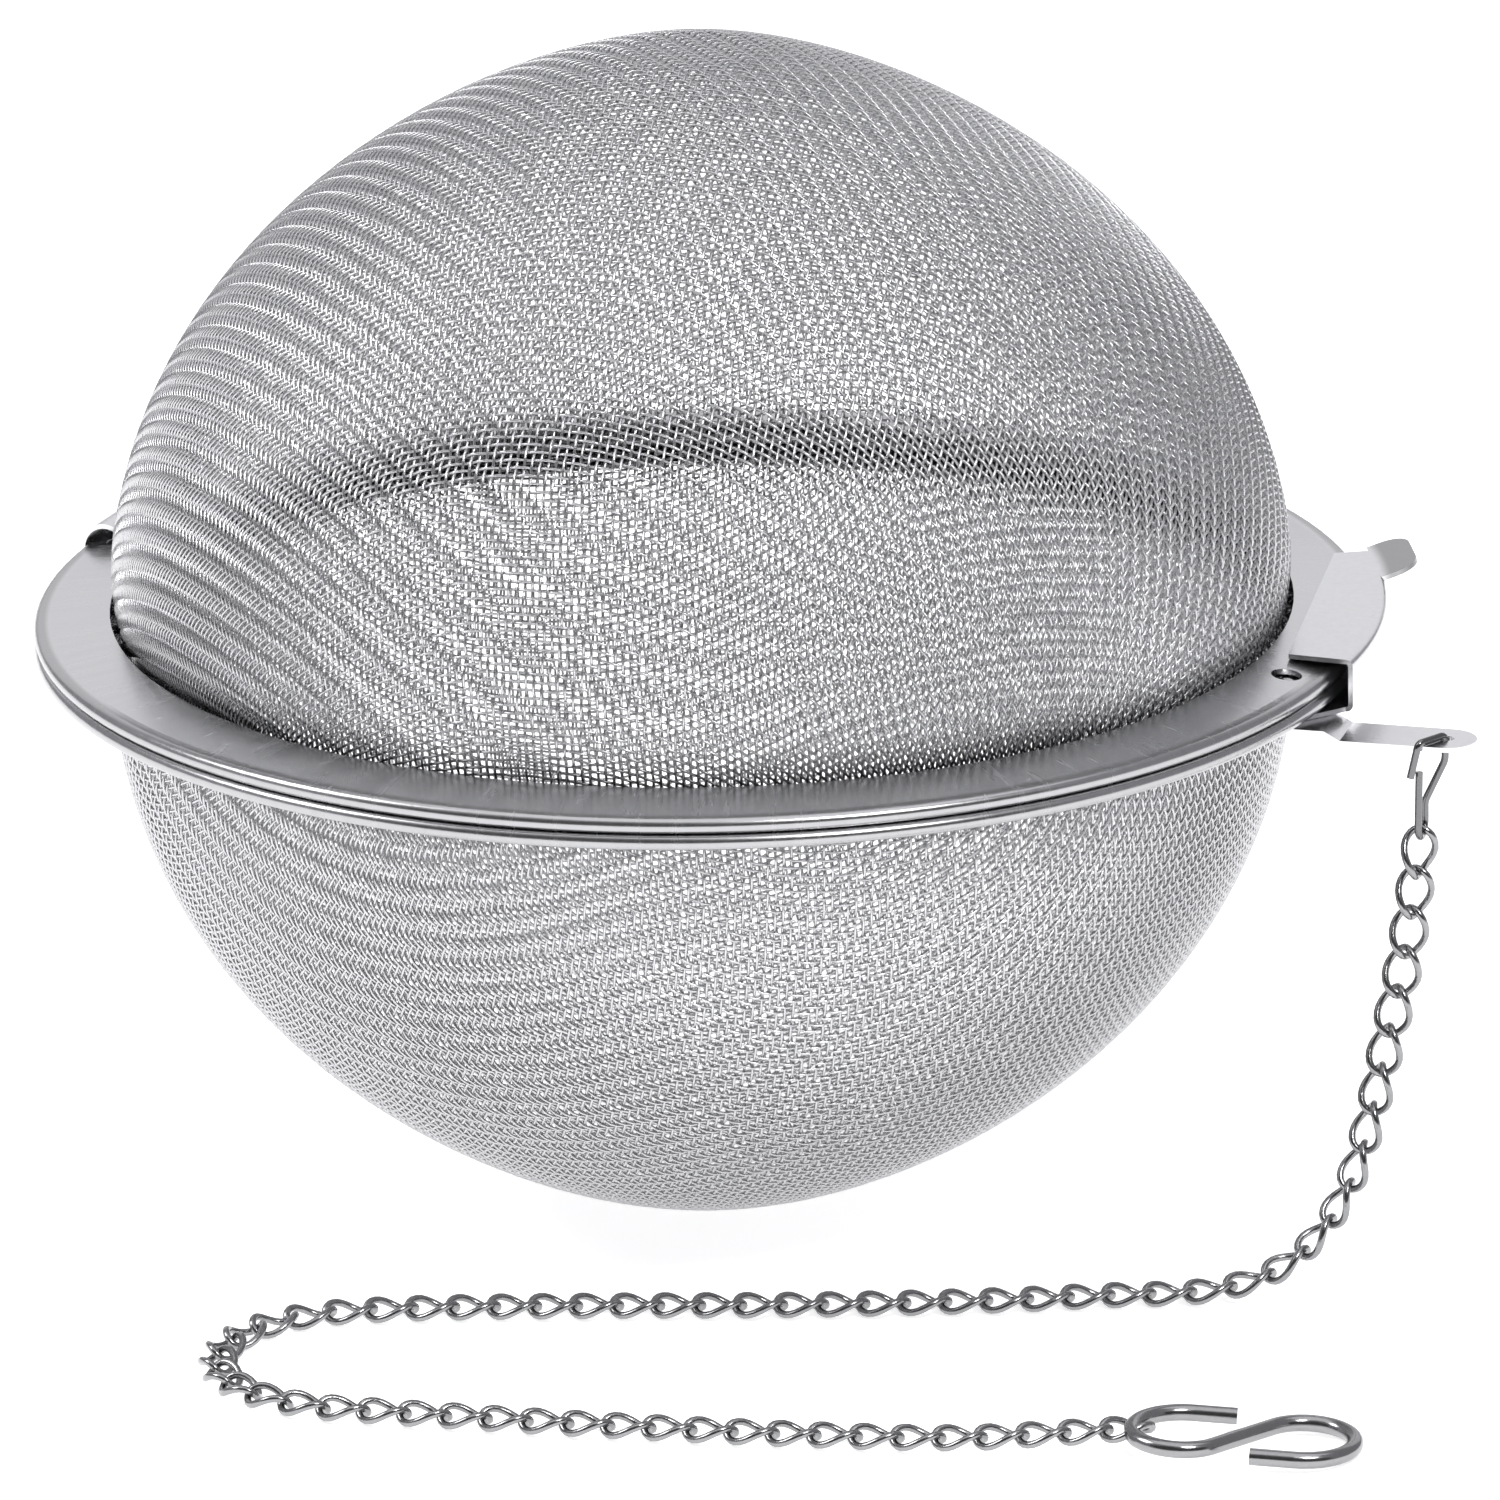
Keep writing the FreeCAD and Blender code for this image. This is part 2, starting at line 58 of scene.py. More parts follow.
# Below the neck's foot the cloth flares out, down to its channel in the rim.
NECK_FOOT = 1.25
CHANNEL = 0.63
CLOTH_EDGE = 46.5
MERIDIAN_POINTS = 3000
FLARE_POINTS = 12

# Cloth: twill, each wire over two and under two. The turns of the two cloths are in degrees, the
# wire's size is its radius, and its crossings wander off their places.
TWILL = 2
PITCH = 0.6
WIRE = 0.105
WIRE_SIDES = 5
CLOTH_INSET = 0.25
UPPER_TURN = 7.0
LOWER_TURN = 37.0
UPPER_SEED = 3
LOWER_SEED = 5
CLOTH_PARTS = 4
WANDER = 0.008

# How a crossing is found: the first guesses, in pitches, and then Newton's steps. Close to the neck's
# foot the wires run straight on instead.
FIRST_GUESSES = np.linspace(-1, 2, 31)
NEWTON_STEPS = 10
SMALL_STEP = 1e-4
TINY = 1e-9
LARGEST_TURN = 0.3
STRAIGHT_WITHIN = 0.2
STRAIGHT_AFTER = 0.5

# Chain: curb links, each twisted a quarter turn from end to end. The first few roll round, so that
# the first one hangs square in the small hook's eye.
LINK_WIRE = 0.28
LINK_HALF_LENGTH = 1.86
LINK_HALF_WIDTH = 1.245
LINK_PITCH = 3.05
LINK_STEPS = 28
LINK_SIDES = 10
START_ROLL = math.radians(-71)
START_ROLL_LINKS = 10
ROUTE_ORDER = 3
ROUTE_STEPS = 24
FLOOR_HEIGHT = 0.8
ROUTE = [
    (57.8, 0.2, 35.33),
    (57.6, -0.4, 31.0),
    (57.0, -1.3, 25.0),
    (56.1, -2.3, 19.5),
    (55.2, -3.1, 14.0),
    (54.1, -4.1, 9.0),
    (52.2, -5.6, 4.8),
    (49.4, -7.6, 2.0),
    (45.4, -10.4, FLOOR_HEIGHT),
    (38.4, -13.8, FLOOR_HEIGHT),
    (31.3, -17.9, FLOOR_HEIGHT),
    (18.0, -24.2, FLOOR_HEIGHT),
    (4.2, -29.7, FLOOR_HEIGHT),
    (-8.8, -35.3, FLOOR_HEIGHT),
    (-15.6, -39.4, FLOOR_HEIGHT),
    (-18.4, -45.2, FLOOR_HEIGHT),
    (-17.4, -51.4, FLOOR_HEIGHT),
    (-13.4, -55.6, FLOOR_HEIGHT),
    (-7.4, -57.0, FLOOR_HEIGHT),
    (0.4, -55.4, FLOOR_HEIGHT),
    (11.4, -53.2, FLOOR_HEIGHT),
    (25.7, -49.8, FLOOR_HEIGHT),
    (39.0, -45.9, FLOOR_HEIGHT),
    (46.2, -43.3, 1.3),
    (52.8, -40.25, 1.68),
]

# Steel: its blue against its grey, the least and most that its grain changes its grey and its
# roughness by, the grain's depth in metres, and the streaks along the rims' radius.
COOLNESS = 1.02
GRAIN_GREY = (0.9, 1.1)
GRAIN_ROUGH = (0.75, 1.25)
GRAIN_DETAIL = 4.0
GRAIN_DEPTH = 0.00002
STREAK_RADIUS = 50.0
STREAK_STRETCH = 0.12
# Painted shade: where each darkened part starts and ends, and how bright the steel is at each: from the
# seam for the cloth beside the neck, and from the ball's axis for the rims' beads and the thumb tab.
NECK_PAINTED_SHADE = (1.5, 4.8, 0.35, 1.0)
BEAD_PAINTED_SHADE = (48.8, 49.3, 1.0, 0.68)
TAB_PAINTED_SHADE = (50.9, 51.8, 1.0, 0.45)

# Cut edges of the sheet pieces.
EDGE_ROUND = 0.08
EDGE_STEPS = 2
EDGE_ANGLE = 40

# Stage, in metres. The lamps and the flag face the ball's middle.
BALL_MIDDLE = (0, 0, 0.045)
FLOOR_SIZE = 12
FLOOR_DROP = 0.0001
FLOOR_GREY = 0.9
FLOOR_GLOW = 0.65
FLAG_GREY = 0.05
STAGE_ROUGHNESS = 0.9
OVERHEAD = 1.6
WORLD_COLOUR = (0.95, 0.95, 1, 1)
WORLD_STRENGTH = 0.42

# Camera. The angles are in degrees, and the clip distances in metres.
CAMERA_AZIMUTH = 24.0
CAMERA_ELEVATION = 18.5
CAMERA_ROLL = -0.87
CAMERA_DISTANCE = 1300.0
CAMERA_LENS = 416.7
CAMERA_RIGHT = 3.59
CAMERA_DOWN = 9.64
CAMERA_SENSOR = 36
CAMERA_CLIP = (0.05, 50)


# ---------------------------------------------------------------- meshes

def mesh_object(name, points, quads, caps=()):
    """A smooth mesh object from points in millimetres, with quads and end caps as rows of indices."""
    quads = np.asarray(quads, dtype=np.int32)
    loops = [quads.ravel()]
    totals = [np.full(len(quads), 4, dtype=np.int32)]
    for rows in caps:
        rows = np.asarray(rows, dtype=np.int32)
        loops.append(rows.ravel())
        totals.append(np.full(len(rows), rows.shape[1], dtype=np.int32))
    loops = np.concatenate(loops)
    totals = np.concatenate(totals)
    mesh = bpy.data.meshes.new(name)
    mesh.vertices.add(len(points))
    mesh.vertices.foreach_set("co", (np.asarray(points) * MM).astype(np.float32).ravel())
    mesh.loops.add(len(loops))
    mesh.loops.foreach_set("vertex_index", loops)
    mesh.polygons.add(len(totals))
    starts = np.concatenate([[0], np.cumsum(totals)[:-1]]).astype(np.int32)
    mesh.polygons.foreach_set("loop_start", starts)
    mesh.polygons.foreach_set("loop_total", totals)
    mesh.polygons.foreach_set("use_smooth", np.full(len(totals), True))
    mesh.update(calc_edges=True)
    mesh.validate()
    made = bpy.data.objects.new(name, mesh)
    bpy.context.scene.collection.objects.link(made)
    return made


def unit(vectors):
    """Vectors of the same directions, one long."""
    return vectors / np.linalg.norm(vectors, axis=-1, keepdims=True)


def wire_corners(points, above, across, radius, sides):
    """Corners of a round wire, a ring of them about each point."""
    angles = 2 * np.pi * np.arange(sides) / sides
    ring = np.cos(angles)[None, :, None] * above[:, None] + np.sin(angles)[None, :, None] * across[:, None]
    return (points[:, None] + radius * ring).reshape(-1, 3)


def tubes(points, normals, wires, radius, sides):
    """Round wires along points. Each point is on the wire that its number in wires gives."""
    count = len(points)
    same_next = np.append(wires[1:] == wires[:-1], False)
    same_last = np.insert(wires[1:] == wires[:-1], 0, False)
    index = np.arange(count)
    ahead = np.where(same_next, index + 1, index)
    behind = np.where(same_last, index - 1, index)
    tangents = unit(points[ahead] - points[behind])
    across = unit(np.cross(tangents, normals))
    corners = wire_corners(points, np.cross(across, tangents), across, radius, sides)
    start = index[same_next][:, None] * sides
    side = np.arange(sides)[None]
    turn = (side + 1) % sides
    quads = np.stack([start + side, start + turn, start + sides + turn, start + sides + side], axis=-1)
    first = index[~same_last][:, None] * sides + side[:, ::-1]
    last = index[~same_next][:, None] * sides + side
    return corners, quads.reshape(-1, 4), [first, last]


# ---------------------------------------------------------------- woven domes

def dome_radius(height):
    """Outer radius of a CAD dome at a height above the seam."""
    barrel = DOME_RADIUS * (1 - (height / DOME_POLE) ** DOME_FALL) ** DOME_ROUND
    return barrel - NECK_PINCH * np.clip(1 - height / NECK_HEIGHT, 0, None) ** 2


def dome_meridian():
    """The cloth's middle line from the pole to its edge in the rim.

    Gives each point's length down the line, radius and height, and the length down to the neck's foot.
    """
    heights = SEAM * np.sin(np.linspace(np.pi / 2, 0, MERIDIAN_POINTS))
    heights = heights[heights >= NECK_FOOT]
    radii = dome_radius(heights)
    slope = np.gradient(radii, heights)
    slant = np.hypot(1, slope)
    radii = radii - CLOTH_INSET / slant
    heights = heights + CLOTH_INSET * slope / slant
    angles = np.linspace(0, np.pi / 2, FLARE_POINTS)[1:]
    fillet = heights[-1] - CHANNEL
    elbow = radii[-1] + fillet
    radii = np.concatenate([[0], radii, elbow - fillet * np.cos(angles), [CLOTH_EDGE]])
    heights = np.concatenate([[heights[0]], heights, CHANNEL + fillet * (1 - np.sin(angles)), [CHANNEL]])
    lengths = np.concatenate([[0], np.cumsum(np.hypot(np.diff(radii), np.diff(heights)))])
    foot = lengths[len(lengths) - len(angles) - 2]
    return lengths, radii, heights, foot


def crossings(meridian):
    """Where the wires cross on a quarter of a dome, as length down the meridian and azimuth.

    A pressed cloth keeps its wires' spacing and shears. So each crossing lies one pitch from the two
    before it, starting from two wires that run straight over the pole.
    """
    lengths, radii, heights, foot = meridian
    count = int(lengths[-1] / PITCH)

    def place(down, azimuth):
        radius = np.interp(down, lengths, radii)
        return np.stack([radius * np.cos(azimuth), radius * np.sin(azimuth),
                         np.interp(down, lengths, heights)], axis=-1)

    down = np.full((count + 1, count + 1), np.nan)
    azimuth = np.full((count + 1, count + 1), np.nan)
    down[:, 0] = down[0, :] = np.arange(count + 1) * PITCH
    azimuth[:, 0] = 0
    azimuth[0, :] = np.pi / 2
    azimuth[0, 0] = np.pi / 4
    for diagonal in range(2, 2 * count + 1):
        i = np.arange(max(1, diagonal - count), min(count, diagonal - 1) + 1)
        j = diagonal - i
        known = ~np.isnan(down[i - 1, j] + down[i, j - 1])
        i, j = i[known], j[known]
        if not len(i):
            break
        before = place(down[i - 1, j], azimuth[i - 1, j])
        beside = place(down[i, j - 1], azimuth[i, j - 1])
        lowest = np.maximum(down[i - 1, j], down[i, j - 1])
        corner = place(down[i - 1, j - 1], azimuth[i - 1, j - 1])
        guess = before + beside - corner
        turn = np.arctan2(guess[:, 1], guess[:, 0])
        tries = lowest[:, None] + PITCH * FIRST_GUESSES[None]
        gap = np.hypot(np.interp(tries, lengths, radii) - np.hypot(guess[:, 0], guess[:, 1])[:, None],
                       np.interp(tries, lengths, heights) - guess[:, 2][:, None])
        reach = tries[np.arange(len(i)), gap.argmin(axis=1)]
        for _ in range(NEWTON_STEPS):
            here = place(reach, turn)
            by_reach = (place(reach + SMALL_STEP, turn) - here) / SMALL_STEP
            by_turn = (place(reach, turn + SMALL_STEP) - here) / SMALL_STEP
            miss_a = ((here - before) ** 2).sum(axis=1) - PITCH ** 2
            miss_b = ((here - beside) ** 2).sum(axis=1) - PITCH ** 2
            a = 2 * ((here - before) * by_reach).sum(axis=1)
            b = 2 * ((here - before) * by_turn).sum(axis=1)
            c = 2 * ((here - beside) * by_reach).sum(axis=1)
            d = 2 * ((here - beside) * by_turn).sum(axis=1)
            size = a * d - b * c
            size = np.where(np.abs(size) < TINY, TINY, size)
            reach = reach - np.clip((miss_a * d - miss_b * b) / size, -PITCH, PITCH)
            turn = turn - np.clip((a * miss_b - c * miss_a) / size, -LARGEST_TURN, LARGEST_TURN)
        past = (reach > foot - STRAIGHT_WITHIN) | (lowest > foot - STRAIGHT_AFTER)
        straight = down[i - 1, j] + down[i, j - 1] - down[i - 1, j - 1]
        reach = np.where(past, straight, reach)
        turn = np.where(past, azimuth[i - 1, j] + azimuth[i, j - 1] - azimuth[i - 1, j - 1], turn)
        inside = reach < lengths[-1]
        down[i[inside], j[inside]] = reach[inside]
        azimuth[i[inside], j[inside]] = turn[inside]
    return down, azimuth


def woven_wires(meridian, net, seed):
    """Points, normals and wire numbers of one dome, pole up and seam at 0, for each direction of wire."""
    lengths, radii, heights, _ = meridian
    down, azimuth = net
    count = len(down) - 1
    span = np.arange(-count, count + 1)
    a, b = np.meshgrid(span, span, indexing="ij")
    reach = down[np.abs(a), np.abs(b)]
    turn = azimuth[np.abs(a), np.abs(b)]
    radius = np.interp(reach, lengths, radii)
    cosine = np.cos(turn) * np.where(a < 0, -1, 1)
    sine = np.sin(turn) * np.where(b < 0, -1, 1)
    cosine = np.where(a == 0, 0, cosine)
    sine = np.where(b == 0, 0, sine)
    places = np.stack([radius * cosine, radius * sine, np.interp(reach, lengths, heights)], axis=-1)
    rng = np.random.RandomState(seed)
    places[..., :2] += rng.normal(0, WANDER, places[..., :2].shape)
    lean = 0.02
    fall = np.interp(reach - lean, lengths, heights) - np.interp(reach + lean, lengths, heights)
    spread = np.interp(reach + lean, lengths, radii) - np.interp(reach - lean, lengths, radii)
    normals = unit(np.stack([fall * cosine, fall * sine, np.abs(spread) + TINY], axis=-1))
    over = np.where((a + b) % (2 * TWILL) < TWILL, 1.0, -1.0)
    directions = []
    for flip, lift in ((False, over), (True, -over)):
        crowns = places + normals * (WIRE * lift)[..., None]
        ways = normals
        if flip:
            crowns, ways = crowns.transpose(1, 0, 2), normals.transpose(1, 0, 2)
        points, facing, wires = [], [], []
        for number, row in enumerate(crowns):
            there = np.flatnonzero(~np.isnan(row[:, 0]))
            if len(there) < 3:
                continue
            line = np.empty((2 * len(there) - 1, 3))
            line[::2] = row[there]
            line[1::2] = (row[there[1:]] + row[there[:-1]]) / 2
            up = np.repeat(ways[number][there], 2, axis=0)[:-1]
            points.append(line)
            facing.append(up)
            wires.append(np.full(len(line), number))
        directions.append((np.concatenate(points), np.concatenate(facing), np.concatenate(wires)))
    return directions


def woven_dome(name, body, node, up, turn, directions, material):
    """A dome of woven wire in several pieces, each a run of neighbouring wires."""
    turn = math.radians(turn)
    spin = np.array([[math.cos(turn), -math.sin(turn), 0], [math.sin(turn), math.cos(turn), 0], [0, 0, 1]])
    for way, (points, normals, wires) in zip(("warp", "weft"), directions):
        points = points @ spin.T * [1, 1, up] + [0, 0, SEAM]
        normals = normals @ spin.T * [1, 1, up]
        starts = np.flatnonzero(np.diff(wires, prepend=-1))
        shares = [len(wires) * part / CLOTH_PARTS for part in range(1, CLOTH_PARTS)]
        cuts = [starts[np.searchsorted(starts, share)] for share in shares]
        for part, (low, high) in enumerate(zip([0] + cuts, cuts + [len(wires)]), 1):
            run = slice(low, high)
            corners, quads, caps = tubes(points[run], normals[run], wires[run], WIRE, WIRE_SIDES)
            piece = mesh_object(f"{name}_{way}_{part}", corners, quads, caps)
            piece.data.materials.append(material)
            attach(piece, body)
            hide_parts(node)


def domes(material):
    """Both domes, which are pressed alike from two cloths."""
    meridian = dome_meridian()
    net = crossings(meridian)
    upper = woven_wires(meridian, net, UPPER_SEED)
    woven_dome("upper_mesh", "lid", "upper_mesh_dome", 1, UPPER_TURN, upper, material)
    lower = woven_wires(meridian, net, LOWER_SEED)
    woven_dome("lower_mesh", "root", "lower_mesh_dome", -1, LOWER_TURN, lower, material)


# ---------------------------------------------------------------- chain

def route_line():
    """Points along the chain's smooth route, in millimetres."""
    curve = bpy.data.curves.new("route", "CURVE")
    curve.dimensions = "3D"
    curve.resolution_u = ROUTE_STEPS
    spline = curve.splines.new("NURBS")
    spline.points.add(len(ROUTE) - 1)
    for point, place in zip(spline.points, ROUTE):
        point.co = (*place, 1)
    spline.order_u = ROUTE_ORDER
    spline.use_endpoint_u = True
    holder = bpy.data.objects.new("route", curve)
    bpy.context.scene.collection.objects.link(holder)
    line = bpy.data.meshes.new_from_object(holder)
    places = np.array([vertex.co[:] for vertex in line.vertices])
    bpy.data.objects.remove(holder)
    bpy.data.curves.remove(curve)
    bpy.data.meshes.remove(line)
    return places


def curb_link():
    """Centreline of one link about the origin, long in X, twisted a quarter turn from end to end."""
    angles = 2 * np.pi * np.arange(LINK_STEPS) / LINK_STEPS
    twist = -math.pi / 4 * np.cos(angles)
    wide = LINK_HALF_WIDTH * np.sin(angles)
    along = LINK_HALF_LENGTH * np.cos(angles)
    return np.stack([along, wide * np.cos(twist), wide * np.sin(twist)], axis=-1)


def ring_tube(line, radius, sides):
    """A closed round wire along a closed line."""
    tangents = unit(np.roll(line, -1, axis=0) - np.roll(line, 1, axis=0))
    outward = unit(line - line.mean(axis=0))
    across = unit(np.cross(tangents, outward))
    corners = wire_corners(line, np.cross(across, tangents), across, radius, sides)
    start = np.arange(len(line))[:, None] * sides
    after = (np.arange(len(line)) + 1)[:, None] % len(line) * sides
    side = np.arange(sides)[None]
    turn = (side + 1) % sides
    quads = np.stack([start + side, start + turn, after + turn, after + side], axis=-1)
    return corners, quads.reshape(-1, 4)


def chain(material):
    """The whole chain, one link after another along the route."""
    line = route_line()
    lengths = np.concatenate([[0], np.cumsum(np.linalg.norm(np.diff(line, axis=0), axis=1))])
    room = lengths[-1] - 2 * LINK_HALF_LENGTH
    count = round(room / LINK_PITCH) + 1
    corners, quads = ring_tube(curb_link(), LINK_WIRE, LINK_SIDES)
    all_corners, all_quads = [], []

    def spot(length):
        return np.array([np.interp(length, lengths, line[:, axis]) for axis in range(3)])

    for index in range(count):
        middle = LINK_HALF_LENGTH + room * index / (count - 1)
        ahead = unit(spot(middle + LINK_HALF_LENGTH) - spot(middle - LINK_HALF_LENGTH))
        level = unit(np.cross([0, 0, 1], ahead))
        roll = START_ROLL * max(0.0, 1 - index / START_ROLL_LINKS)
        side = level * math.cos(roll) + np.cross(ahead, level) * math.sin(roll)
        link_axes = np.stack([ahead, side, np.cross(ahead, side)])
        all_quads.append(quads + len(corners) * index)
        all_corners.append(corners @ link_axes + spot(middle))
    piece = mesh_object("chain", np.concatenate(all_corners), np.concatenate(all_quads))
    piece.data.materials.append(material)
    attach(piece, "root")
    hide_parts("chain_links")


# ---------------------------------------------------------------- materials

def worked(nodes, links, operation, *values):
    """The result of a math node on sockets and numbers."""
    node = nodes.new("ShaderNodeMath")
    node.operation = operation
    for socket, value in zip(node.inputs, values):
        if isinstance(value, bpy.types.NodeSocket):
            links.new(value, socket)
        else:
            socket.default_value = value
    return node.outputs["Value"]


def distance(nodes, links, x, y):
    """Distance from the ball's axis."""
    square = worked(nodes, links, "MULTIPLY_ADD", x, x, worked(nodes, links, "MULTIPLY", y, y))
    return worked(nodes, links, "SQRT", square)


def streaked(nodes, links, x, y):
    """Texture coordinates that draw a noise out into streaks along the radius of the rims."""
    angle = worked(nodes, links, "ARCTAN2", y, x)
    reach = distance(nodes, links, x, y)
    joined = nodes.new("ShaderNodeCombineXYZ")
    links.new(worked(nodes, links, "MULTIPLY", angle, STREAK_RADIUS * MM), joined.inputs["X"])
    links.new(worked(nodes, links, "MULTIPLY", reach, STREAK_STRETCH), joined.inputs["Y"])
    return joined.outputs["Vector"]


def fading(nodes, links, length, start, end, first, last):
    """A factor that goes smoothly from first to last as a length in metres goes from start to end."""
    fade = nodes.new("ShaderNodeMapRange")
    fade.interpolation_type = "SMOOTHSTEP"
    links.new(length, fade.inputs["Value"])
    fade.inputs["From Min"].default_value = start * MM
    fade.inputs["From Max"].default_value = end * MM
    fade.inputs["To Min"].default_value = first
    fade.inputs["To Max"].default_value = last
    return fade.outputs["Result"]


def neck_painted_shade(nodes, links, x, y, z):
    """Painted shade on the cloth: a factor that darkens it close beside the seam, for the shade and dark
    reflections at the neck.
    """
    offset = worked(nodes, links, "ABSOLUTE", worked(nodes, links, "SUBTRACT", z, SEAM * MM))
    return fading(nodes, links, offset, *NECK_PAINTED_SHADE)


def bead_painted_shade(nodes, links, x, y, z):
    """Painted shade on the rims: darker round their beads, where the sheet is rolled over."""
    return fading(nodes, links, distance(nodes, links, x, y), *BEAD_PAINTED_SHADE)


def tab_painted_shade(nodes, links, x, y, z):
    """Painted shade on the clip: darker on its tab, outside the clip's wall."""
    return fading(nodes, links, distance(nodes, links, x, y), *TAB_PAINTED_SHADE)


def between(nodes, links, factor, low, high):
    """A factor from 0 to 1 spread from one value to another."""
    spread = nodes.new("ShaderNodeMapRange")
    links.new(factor, spread.inputs["Value"])
    spread.inputs["To Min"].default_value = low
    spread.inputs["To Max"].default_value = high
    return spread.outputs["Result"]


def steel(name, colour, roughness, grain, bump, streaks=False, painted_shade=None):
    """Stainless steel: fine grain in its brightness, its roughness and its surface.

    The grain counts how many of its spots go in a metre, and the last argument, when given, darkens the
    steel in places as painted shade.
    """
    material = bpy.data.materials.new(name)
    material.use_nodes = True
    nodes, links = material.node_tree.nodes, material.node_tree.links
    shader = nodes["Principled BSDF"]
    shader.inputs["Metallic"].default_value = 1.0
    place = nodes.new("ShaderNodeTexCoord").outputs["Object"]
    split = nodes.new("ShaderNodeSeparateXYZ")
    links.new(place, split.inputs["Vector"])
    x, y, z = split.outputs
    noise = nodes.new("ShaderNodeTexNoise")
    noise.inputs["Scale"].default_value = grain
    noise.inputs["Detail"].default_value = GRAIN_DETAIL
    links.new(streaked(nodes, links, x, y) if streaks else place, noise.inputs["Vector"])
    grain_factor = noise.outputs["Fac"]
    grey = between(nodes, links, grain_factor, colour * GRAIN_GREY[0], colour * GRAIN_GREY[1])
    # Painted shade: the grey is darkened where the given factor is below one.
    if painted_shade:
        grey = worked(nodes, links, "MULTIPLY", grey, painted_shade(nodes, links, x, y, z))
    mix = nodes.new("ShaderNodeCombineColor")
    links.new(grey, mix.inputs["Red"])
    links.new(grey, mix.inputs["Green"])
    links.new(worked(nodes, links, "MULTIPLY", grey, COOLNESS), mix.inputs["Blue"])
    links.new(mix.outputs["Color"], shader.inputs["Base Color"])
    rough = between(nodes, links, grain_factor, roughness * GRAIN_ROUGH[0], roughness * GRAIN_ROUGH[1])
    links.new(rough, shader.inputs["Roughness"])
    relief = nodes.new("ShaderNodeBump")
    relief.inputs["Strength"].default_value = bump
    relief.inputs["Distance"].default_value = GRAIN_DEPTH
    links.new(grain_factor, relief.inputs["Height"])
    links.new(relief.outputs["Normal"], shader.inputs["Normal"])
    return material


def dress(node, material):
    """Gives a CAD node's object a material."""
    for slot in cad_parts[node].material_slots:
        slot.material = material


def soften(node):
    """Rounds a CAD node's cut edges."""
    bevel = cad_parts[node].modifiers.new("soften", "BEVEL")
    bevel.width = EDGE_ROUND * MM
    bevel.segments = EDGE_STEPS
    bevel.limit_method = "ANGLE"
    bevel.angle_limit = math.radians(EDGE_ANGLE)
    bevel.harden_normals = True


# ---------------------------------------------------------------- stage, light and camera

def plain(name, colour, glow=0.0):
    """A matt grey for the stage, which can glow."""
    material = bpy.data.materials.new(name)
    material.use_nodes = True
    shader = material.node_tree.nodes["Principled BSDF"]
    shader.inputs["Base Color"].default_value = (colour, colour, colour, 1)
    shader.inputs["Roughness"].default_value = STAGE_ROUGHNESS
    shader.inputs["Emission Color"].default_value = (1, 1, 1, 1)
    shader.inputs["Emission Strength"].default_value = glow
    return material


def card(name, centre, size, facing, material):
    """A flat card of the stage, in metres, that faces a point."""
    mesh = bpy.data.meshes.new(name)
    w, h = size[0] / 2, size[1] / 2
    mesh.from_pydata([(-w, -h, 0), (w, -h, 0), (w, h, 0), (-w, h, 0)], [], [(0, 1, 2, 3)])
    made = bpy.data.objects.new(name, mesh)
    made.location = centre
    made.rotation_euler = (Vector(facing) - Vector(centre)).to_track_quat("Z", "Y").to_euler()
    mesh.materials.append(material)
    bpy.context.scene.collection.objects.link(made)
    return made


def camera_side(distance, elevation, azimuth=CAMERA_AZIMUTH):
    """A point at a distance from the object, in metres, at an azimuth as the camera's is counted."""
    a, e = math.radians(azimuth), math.radians(elevation)
    return Vector((math.sin(a) * math.cos(e), -math.cos(a) * math.cos(e), math.sin(e))) * distance


def softbox(name, place, size, power):
    """A rectangular lamp, in metres and watts, that faces the ball's middle and isn't seen itself."""
    light = bpy.data.lights.new(name, "AREA")
    light.shape = "RECTANGLE"
    light.size, light.size_y = size
    light.energy = power
    made = bpy.data.objects.new(name, light)
    made.location = place
    made.rotation_euler = (Vector(BALL_MIDDLE) - Vector(place)).to_track_quat("-Z", "Y").to_euler()
    made.visible_camera = False
    bpy.context.scene.collection.objects.link(made)


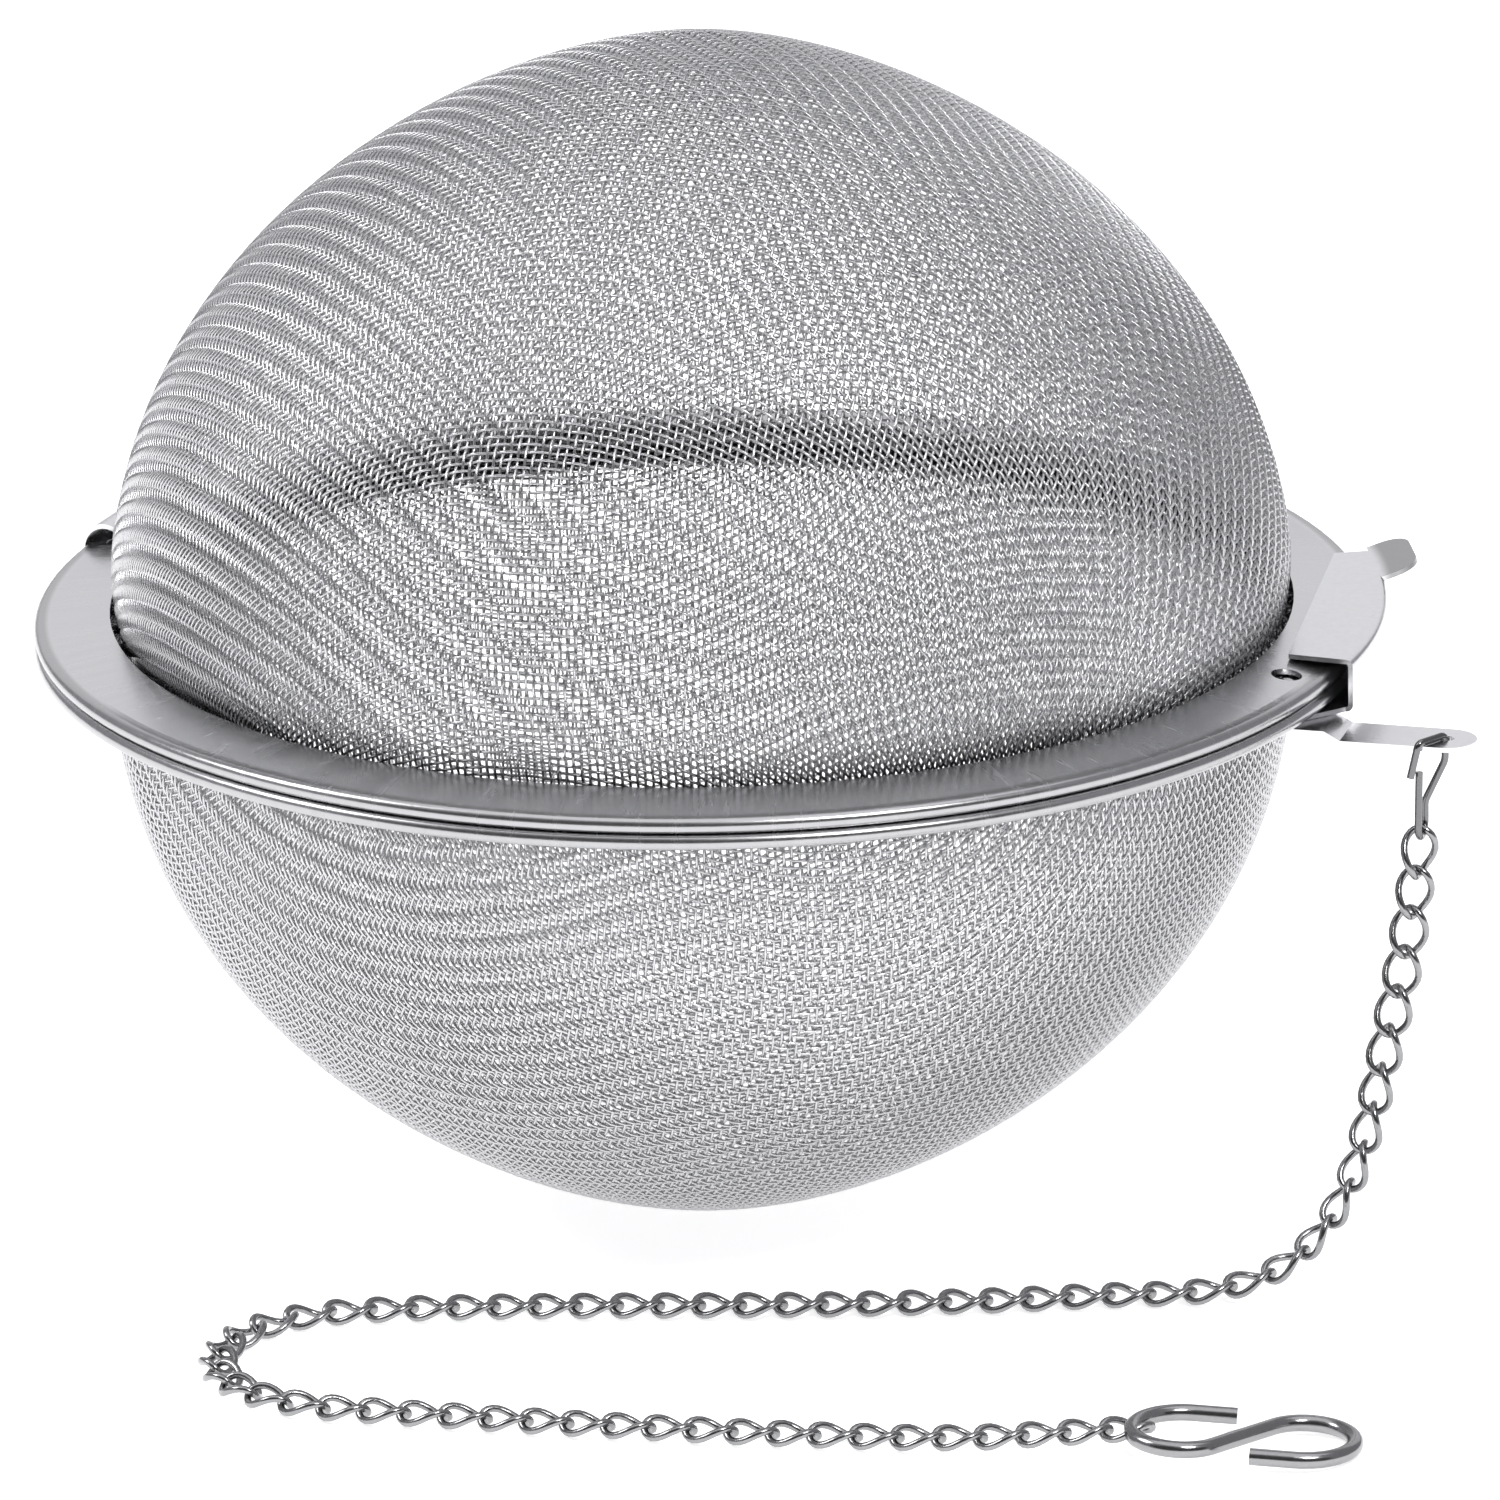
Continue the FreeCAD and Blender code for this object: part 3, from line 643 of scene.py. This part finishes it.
def stage():
    """A white floor, a dark flag for the steel to mirror, four lamps and the world."""
    card("floor", centre=(0, 0, -FLOOR_DROP), size=(FLOOR_SIZE, FLOOR_SIZE), facing=(0, 0, 1),
         material=plain("floor", FLOOR_GREY, FLOOR_GLOW))
    flag = card("flag", centre=camera_side(distance=1.0, elevation=18), size=(3.0, 1.3),
                facing=BALL_MIDDLE, material=plain("flag", FLAG_GREY))
    flag.visible_camera = False
    flag.visible_diffuse = False
    flag.visible_shadow = False
    softbox("overhead", place=(0, 0, OVERHEAD), size=(OVERHEAD, OVERHEAD), power=8)
    softbox("left", place=camera_side(distance=1.3, elevation=45, azimuth=CAMERA_AZIMUTH - 89),
            size=(0.5, 0.5), power=6.5)
    softbox("right", place=camera_side(distance=0.8, elevation=48, azimuth=CAMERA_AZIMUTH + 31),
            size=(0.2, 0.2), power=2.5)
    softbox("back", place=camera_side(distance=1.8, elevation=25, azimuth=CAMERA_AZIMUTH + 180),
            size=(2.4, 1.0), power=4)
    world = bpy.data.worlds.new("studio")
    world.use_nodes = True
    background = world.node_tree.nodes["Background"]
    background.inputs["Color"].default_value = WORLD_COLOUR
    background.inputs["Strength"].default_value = WORLD_STRENGTH
    bpy.context.scene.world = world


def camera():
    """The camera, which looks a little below and beside the middle of the seam."""
    bpy.context.scene.view_settings.view_transform = "Standard"
    data = bpy.data.cameras.new("camera")
    data.lens = CAMERA_LENS
    data.sensor_width = CAMERA_SENSOR
    data.clip_start, data.clip_end = CAMERA_CLIP
    made = bpy.data.objects.new("camera", data)
    back = camera_side(1.0, CAMERA_ELEVATION)
    level = (-back).to_track_quat("-Z", "Y").to_matrix().to_4x4()
    look = level @ Matrix.Rotation(math.radians(CAMERA_ROLL), 4, "Z")
    right, up = look.col[0].to_3d(), look.col[1].to_3d()
    target = Vector((0, 0, SEAM * MM)) + right * CAMERA_RIGHT * MM - up * CAMERA_DOWN * MM
    made.matrix_world = Matrix.Translation(target + back * CAMERA_DISTANCE * MM) @ look
    bpy.context.scene.collection.objects.link(made)
    bpy.context.scene.camera = made


# ---------------------------------------------------------------- the scene

camera()
stage()
# Painted shade: the cloth is darkened beside the seam.
wire_steel = steel("wire_steel", colour=0.58, roughness=0.28, grain=9000, bump=0.1, painted_shade=neck_painted_shade)
sheet_steel = steel("sheet_steel", colour=0.72, roughness=0.24, grain=2500, bump=0.04)
# Painted shade: the clip is darkened on its tab.
clip_steel = steel("clip_steel", colour=0.72, roughness=0.24, grain=2500, bump=0.04, painted_shade=tab_painted_shade)
# Painted shade: the rims are darkened round their beads.
rim_steel = steel("rim_steel", colour=0.62, roughness=0.26, grain=1000, bump=0.01, streaks=True,
                  painted_shade=bead_painted_shade)
hook_steel = steel("hook_steel", colour=0.3, roughness=0.2, grain=4000, bump=0.1)
# Painted shade: a darker copy of hook_steel for the small hook.
small_hook_painted_shade = steel("small_hook_painted_shade", colour=0.18, roughness=0.2, grain=4000, bump=0.1)
domes(wire_steel)
chain(hook_steel)
for node in ("upper_rim", "lower_rim"):
    dress(node, rim_steel)
for node in ("hinge_strap", "latch_rivet", "chain_lug"):
    dress(node, sheet_steel)
dress("latch_lever", clip_steel)
for node in ("hinge_strap", "latch_lever", "chain_lug"):
    soften(node)
dress("pot_hook", hook_steel)
dress("lug_hook", small_hook_painted_shade)
